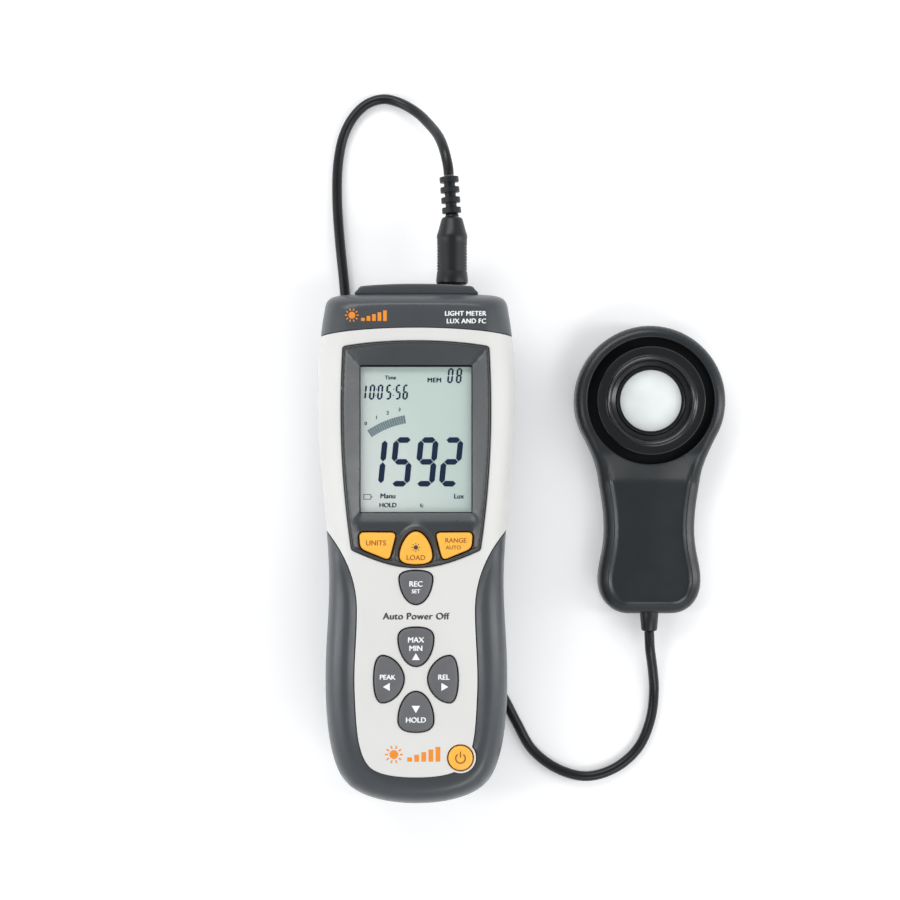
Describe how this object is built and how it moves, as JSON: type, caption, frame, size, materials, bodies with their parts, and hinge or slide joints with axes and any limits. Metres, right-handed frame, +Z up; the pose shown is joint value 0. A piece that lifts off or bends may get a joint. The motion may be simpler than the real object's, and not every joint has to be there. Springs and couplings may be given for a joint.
{
  "type": "light meter",
  "caption": "Handheld logging light meter lying on its back, with display, keypad, tilt stand and a separate dome light sensor on a plug-in lead.",
  "frame": {"origin": "middle of the floor area under the meter and its sensor, at the surface they lie on", "axes": "+Z up out of the display and the sensor's dome; +Y along the meter towards its connector end; +X from the meter to the sensor"},
  "size_m": [0.1605, 0.2792, 0.0483],
  "materials": {
    "light_case": "fine-grained moulded ABS, light warm grey",
    "dark_trim": "soft-touch dark grey moulding",
    "back_case": "textured dark grey ABS",
    "bezel": "smooth dark grey frame",
    "lens": "clear polished window",
    "lcd": "grey-green reflective LCD",
    "white_plastic": "white diffuser",
    "yellow_key": "orange-yellow silicone key",
    "grey_key": "dark grey silicone key",
    "board": "green solder mask",
    "chip": "black moulded package",
    "steel": "zinc-plated steel",
    "brass": "turned brass",
    "rubber": "black rubber",
    "battery": "printed metal jacket",
    "red_wire": "red insulated wire",
    "sensor_case": "satin black ABS",
    "dome": "opal white diffuser",
    "filter": "colour-correcting glass",
    "cord": "flexible black sheath"
  },
  "bodies": {
    "meter": {"front_cover": "light_case", "top_band": "dark_trim", "grip_boot": "dark_trim", "back_cover": "back_case", "connector_cap": "back_case", "display_bezel": "bezel", "display_lens": "lens", "lcd_panel": "lcd", "backlight_panel": "white_plastic", "contact_strip_upper": "rubber", "contact_strip_lower": "rubber", "main_board": "board", "connector_board": "board", "processor_chip": "chip", "keypad_mat": "rubber", "sensor_jack": "chip", "usb_socket": "steel", "buzzer": "chip", "tripod_nut": "brass", "battery_door": "back_case", "battery_door_screw": "steel", "battery_9v": "battery", "battery_snap": "chip", "battery_lead_red": "red_wire", "battery_lead_black": "rubber", "stand_pin": "steel", "rubber_foot_1": "rubber", "rubber_foot_2": "rubber", "rubber_foot_3": "rubber", "rubber_foot_4": "rubber", "case_screw_1": "steel", "case_screw_2": "steel", "case_screw_3": "steel", "case_screw_4": "steel"},
    "tilt_stand": {"tilt_stand": "back_case"},
    "usb_port_cover": {"usb_port_cover": "rubber"},
    "sensor_and_lead": {"plug_contact": "steel", "plug_body": "cord", "plug_relief": "cord", "sensor_cord": "cord", "sensor_top_cover": "sensor_case", "sensor_bottom_cover": "sensor_case", "sensor_collar": "sensor_case", "diffuser_dome": "dome", "light_filter": "filter", "photodiode": "chip", "sensor_board": "board", "sensor_screw_1": "steel", "sensor_screw_2": "steel", "sensor_strain_relief": "cord"},
    "units_button": {"units_button": "yellow_key"},
    "backlight_button": {"backlight_button": "yellow_key"},
    "range_button": {"range_button": "yellow_key"},
    "record_button": {"record_button": "grey_key"},
    "max_min_button": {"max_min_button": "grey_key"},
    "peak_button": {"peak_button": "grey_key"},
    "relative_button": {"relative_button": "grey_key"},
    "hold_button": {"hold_button": "grey_key"},
    "power_button": {"power_button": "yellow_key"}
  },
  "joints": [
    {"name": "units_press", "type": "slide", "parent": "meter", "child": "units_button", "axis": [0, 0, -1], "range_m": [0, 0.0012], "stiffness_N_per_m": 700, "springref_m": -0.0003},
    {"name": "backlight_press", "type": "slide", "parent": "meter", "child": "backlight_button", "axis": [0, 0, -1], "range_m": [0, 0.0012], "stiffness_N_per_m": 700, "springref_m": -0.0003},
    {"name": "range_press", "type": "slide", "parent": "meter", "child": "range_button", "axis": [0, 0, -1], "range_m": [0, 0.0012], "stiffness_N_per_m": 700, "springref_m": -0.0003},
    {"name": "record_press", "type": "slide", "parent": "meter", "child": "record_button", "axis": [0, 0, -1], "range_m": [0, 0.0012], "stiffness_N_per_m": 700, "springref_m": -0.0003},
    {"name": "max_min_press", "type": "slide", "parent": "meter", "child": "max_min_button", "axis": [0, 0, -1], "range_m": [0, 0.0012], "stiffness_N_per_m": 700, "springref_m": -0.0003},
    {"name": "peak_press", "type": "slide", "parent": "meter", "child": "peak_button", "axis": [0, 0, -1], "range_m": [0, 0.0012], "stiffness_N_per_m": 700, "springref_m": -0.0003},
    {"name": "relative_press", "type": "slide", "parent": "meter", "child": "relative_button", "axis": [0, 0, -1], "range_m": [0, 0.0012], "stiffness_N_per_m": 700, "springref_m": -0.0003},
    {"name": "hold_press", "type": "slide", "parent": "meter", "child": "hold_button", "axis": [0, 0, -1], "range_m": [0, 0.0012], "stiffness_N_per_m": 700, "springref_m": -0.0003},
    {"name": "power_press", "type": "slide", "parent": "meter", "child": "power_button", "axis": [0, 0, -1], "range_m": [0, 0.0012], "stiffness_N_per_m": 700, "springref_m": -0.0003},
    {"name": "stand_tilt", "type": "hinge", "parent": "meter", "child": "tilt_stand", "pos_m": [-0.04195, 0.077, 0.0029], "axis": [1, 0, 0], "range_deg": [0, 70]},
    {"name": "usb_cover_flip", "type": "hinge", "parent": "meter", "child": "usb_port_cover", "pos_m": [-0.05095, 0.0995, 0.0201], "axis": [-1, 0, 0], "range_deg": [0, 110]},
    {"name": "sensor_plug_pull", "type": "slide", "parent": "meter", "child": "sensor_and_lead", "axis": [0, 1, 0], "range_m": [0, 0.0125]}
  ]
}
